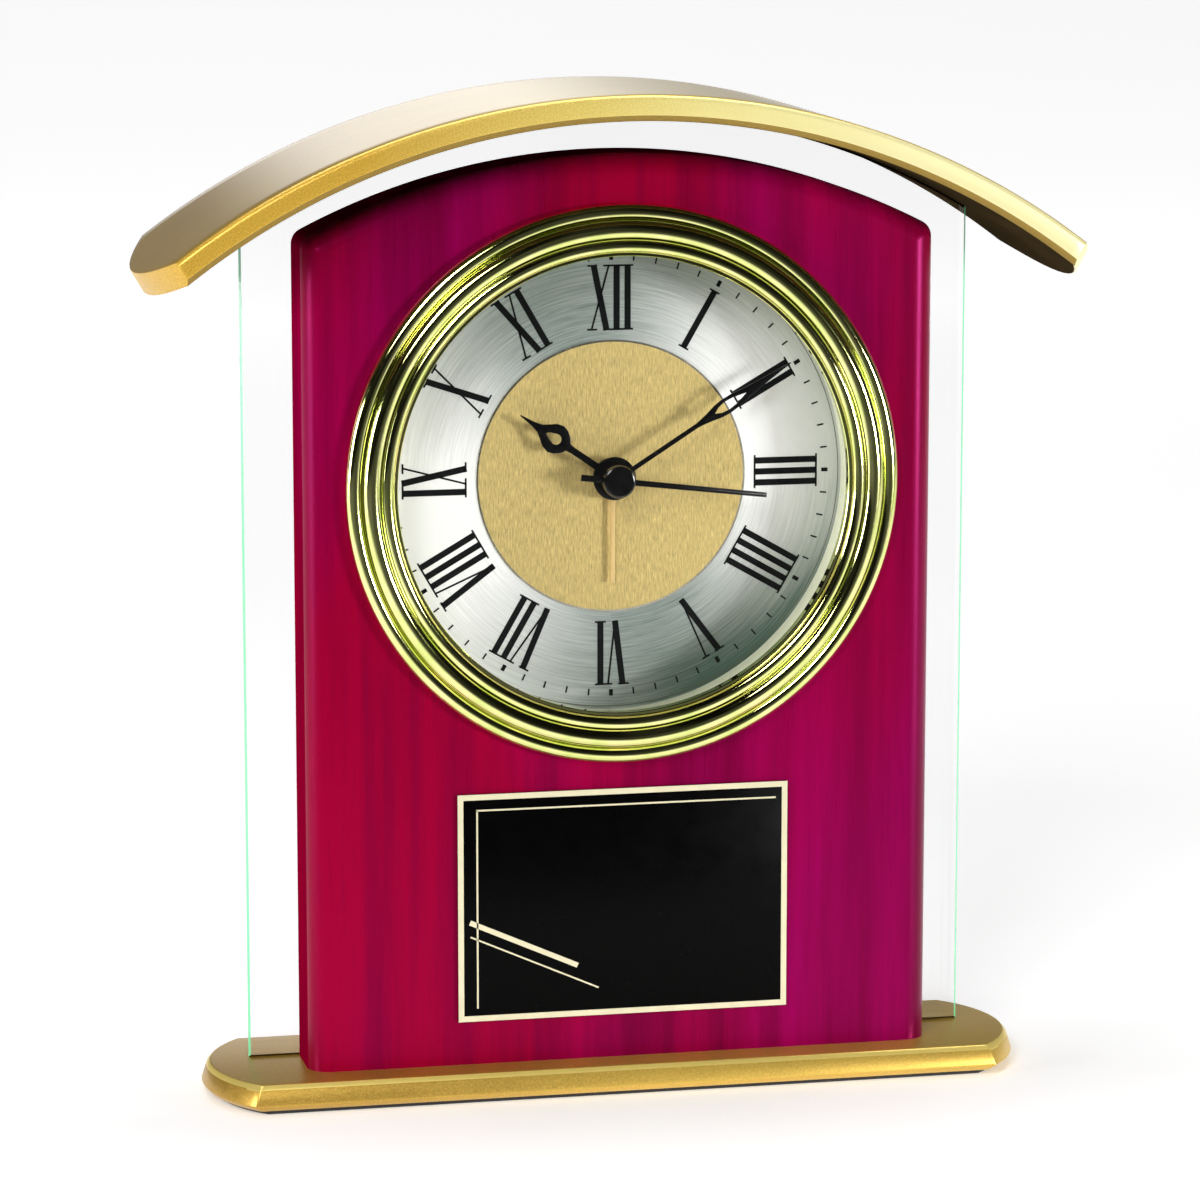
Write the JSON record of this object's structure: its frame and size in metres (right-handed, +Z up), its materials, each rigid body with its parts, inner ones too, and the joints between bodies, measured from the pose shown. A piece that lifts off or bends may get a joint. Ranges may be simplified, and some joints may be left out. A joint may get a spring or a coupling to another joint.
{
  "type": "desk clock",
  "caption": "Desk clock with a round alarm insert in an arched wood block, mounted on a clear glass panel between a gold base plate and a curved gold roof bar.",
  "frame": {"origin": "middle of the underside of the felt", "axes": "+Z up, +X to the right seen from the front, +Y to the back; the dial faces -Y"},
  "size_m": [0.1748, 0.05, 0.184],
  "materials": {
    "satin_gold": "brushed satin gold",
    "polished_gold": "polished gold",
    "felt": "black felt",
    "clear_glass": "clear float glass",
    "rosewood": "stained and lacquered wood",
    "black_plate": "black coated metal",
    "cream_line": "cream filled line",
    "steel": "plain steel",
    "crystal": "clear mineral glass",
    "black_rubber": "soft black rubber",
    "reflector": "pale cream plastic",
    "dial_silver": "spun silver",
    "dial_gold": "brushed gold",
    "housing": "pressed steel",
    "hand_black": "black enamel",
    "hand_gold": "gold lacquer",
    "gear_plastic": "white moulded plastic",
    "case_plastic": "black moulded plastic",
    "knob_plastic": "black moulded plastic",
    "magnet": "sintered magnet",
    "core": "stamped core plate",
    "copper": "enamelled copper wire",
    "bobbin": "moulded nylon",
    "board": "green circuit board",
    "can": "bright can",
    "contact": "plated spring metal",
    "cell": "plain wrapped cell"
  },
  "bodies": {
    "stand": {"base_plate": "satin_gold", "base_felt": "felt", "glass_panel": "clear_glass", "wood_block": "rosewood", "roof_bar": "satin_gold", "engraving_plate": "black_plate", "plate_border": "cream_line", "wood_screws": "steel", "bezel_ring": "polished_gold", "crystal": "crystal", "crystal_gasket": "black_rubber", "reflector_ring": "reflector", "dial_plate": "dial_silver", "dial_centre": "dial_gold", "insert_housing": "housing", "housing_band": "black_rubber", "movement_pad": "black_rubber", "movement_front_case": "case_plastic", "movement_back_case": "case_plastic", "case_screws": "steel", "middle_plate": "gear_plastic", "train_bridge": "gear_plastic", "stator": "core", "coil_bobbin": "bobbin", "coil_winding": "copper", "circuit_board": "board", "quartz_can": "can", "buzzer": "case_plastic", "alarm_contact": "contact", "contact_positive": "contact", "contact_negative": "contact"},
    "seconds": {"second_hand": "hand_black", "seconds_wheel": "gear_plastic"},
    "rotor": {"rotor_pinion": "gear_plastic", "rotor_magnet": "magnet"},
    "step": {"step_wheel": "gear_plastic"},
    "third": {"third_wheel": "gear_plastic"},
    "centre": {"centre_wheel": "gear_plastic"},
    "minutes": {"minute_hand": "hand_black", "cannon_pinion": "gear_plastic"},
    "motion": {"motion_wheel": "gear_plastic"},
    "hours": {"hour_hand": "hand_black", "hour_wheel": "gear_plastic"},
    "alarm": {"alarm_hand": "hand_gold", "alarm_wheel": "gear_plastic"},
    "time_setting": {"time_knob": "knob_plastic"},
    "alarm_setting": {"alarm_knob": "knob_plastic"},
    "switch": {"alarm_switch": "knob_plastic"},
    "cell": {"battery": "cell"},
    "cover": {"battery_cover": "case_plastic"}
  },
  "joints": [
    {"name": "second_spin", "type": "hinge", "parent": "stand", "child": "seconds", "pos_m": [0, 0, 0.1126], "axis": [0, 1, 0], "continuous": true},
    {"name": "rotor_spin", "type": "hinge", "parent": "stand", "child": "rotor", "pos_m": [0.0106, 0, 0.12276], "axis": [0, 1, 0], "continuous": true},
    {"name": "step_spin", "type": "hinge", "parent": "stand", "child": "step", "pos_m": [0.0071, 0, 0.1167], "axis": [0, 1, 0], "continuous": true},
    {"name": "third_spin", "type": "hinge", "parent": "stand", "child": "third", "pos_m": [-0.004, 0, 0.11953], "axis": [0, 1, 0], "continuous": true},
    {"name": "centre_spin", "type": "hinge", "parent": "stand", "child": "centre", "pos_m": [0, 0, 0.1126], "axis": [0, 1, 0], "continuous": true},
    {"name": "minute_spin", "type": "hinge", "parent": "stand", "child": "minutes", "pos_m": [0, 0, 0.1126], "axis": [0, 1, 0], "continuous": true},
    {"name": "motion_spin", "type": "hinge", "parent": "stand", "child": "motion", "pos_m": [-0.00606, 0, 0.1091], "axis": [0, 1, 0], "continuous": true},
    {"name": "hour_spin", "type": "hinge", "parent": "stand", "child": "hours", "pos_m": [0, 0, 0.1126], "axis": [0, 1, 0], "continuous": true},
    {"name": "time_knob_spin", "type": "hinge", "parent": "stand", "child": "time_setting", "pos_m": [-0.01306, 0, 0.1091], "axis": [0, 1, 0], "continuous": true},
    {"name": "alarm_spin", "type": "hinge", "parent": "stand", "child": "alarm", "pos_m": [0, 0, 0.1126], "axis": [0, 1, 0], "continuous": true},
    {"name": "alarm_knob_spin", "type": "hinge", "parent": "stand", "child": "alarm_setting", "pos_m": [0.00772, 0, 0.10815], "axis": [0, 1, 0], "continuous": true},
    {"name": "alarm_switch_slide", "type": "slide", "parent": "stand", "child": "switch", "axis": [1, 0, 0], "range_m": [0, 0.003]},
    {"name": "battery_slide", "type": "slide", "parent": "stand", "child": "cell", "axis": [0, 1, 0], "range_m": [0, 0.03]},
    {"name": "battery_cover_slide", "type": "slide", "parent": "stand", "child": "cover", "axis": [0, 1, 0], "range_m": [0, 0.045]}
  ],
  "couplings": [
    {"joint": "step_spin", "follows": "second_spin", "ratio": -5},
    {"joint": "rotor_spin", "follows": "second_spin", "ratio": 30},
    {"joint": "third_spin", "follows": "second_spin", "ratio": -0.13333},
    {"joint": "centre_spin", "follows": "second_spin", "ratio": 0.016667},
    {"joint": "motion_spin", "follows": "minute_spin", "ratio": -0.33333},
    {"joint": "hour_spin", "follows": "minute_spin", "ratio": 0.083333},
    {"joint": "time_knob_spin", "follows": "minute_spin", "ratio": 1},
    {"joint": "alarm_spin", "follows": "alarm_knob_spin", "ratio": -0.5},
    {"joint": "battery_slide", "follows": "battery_cover_slide", "ratio": 0.66667}
  ]
}
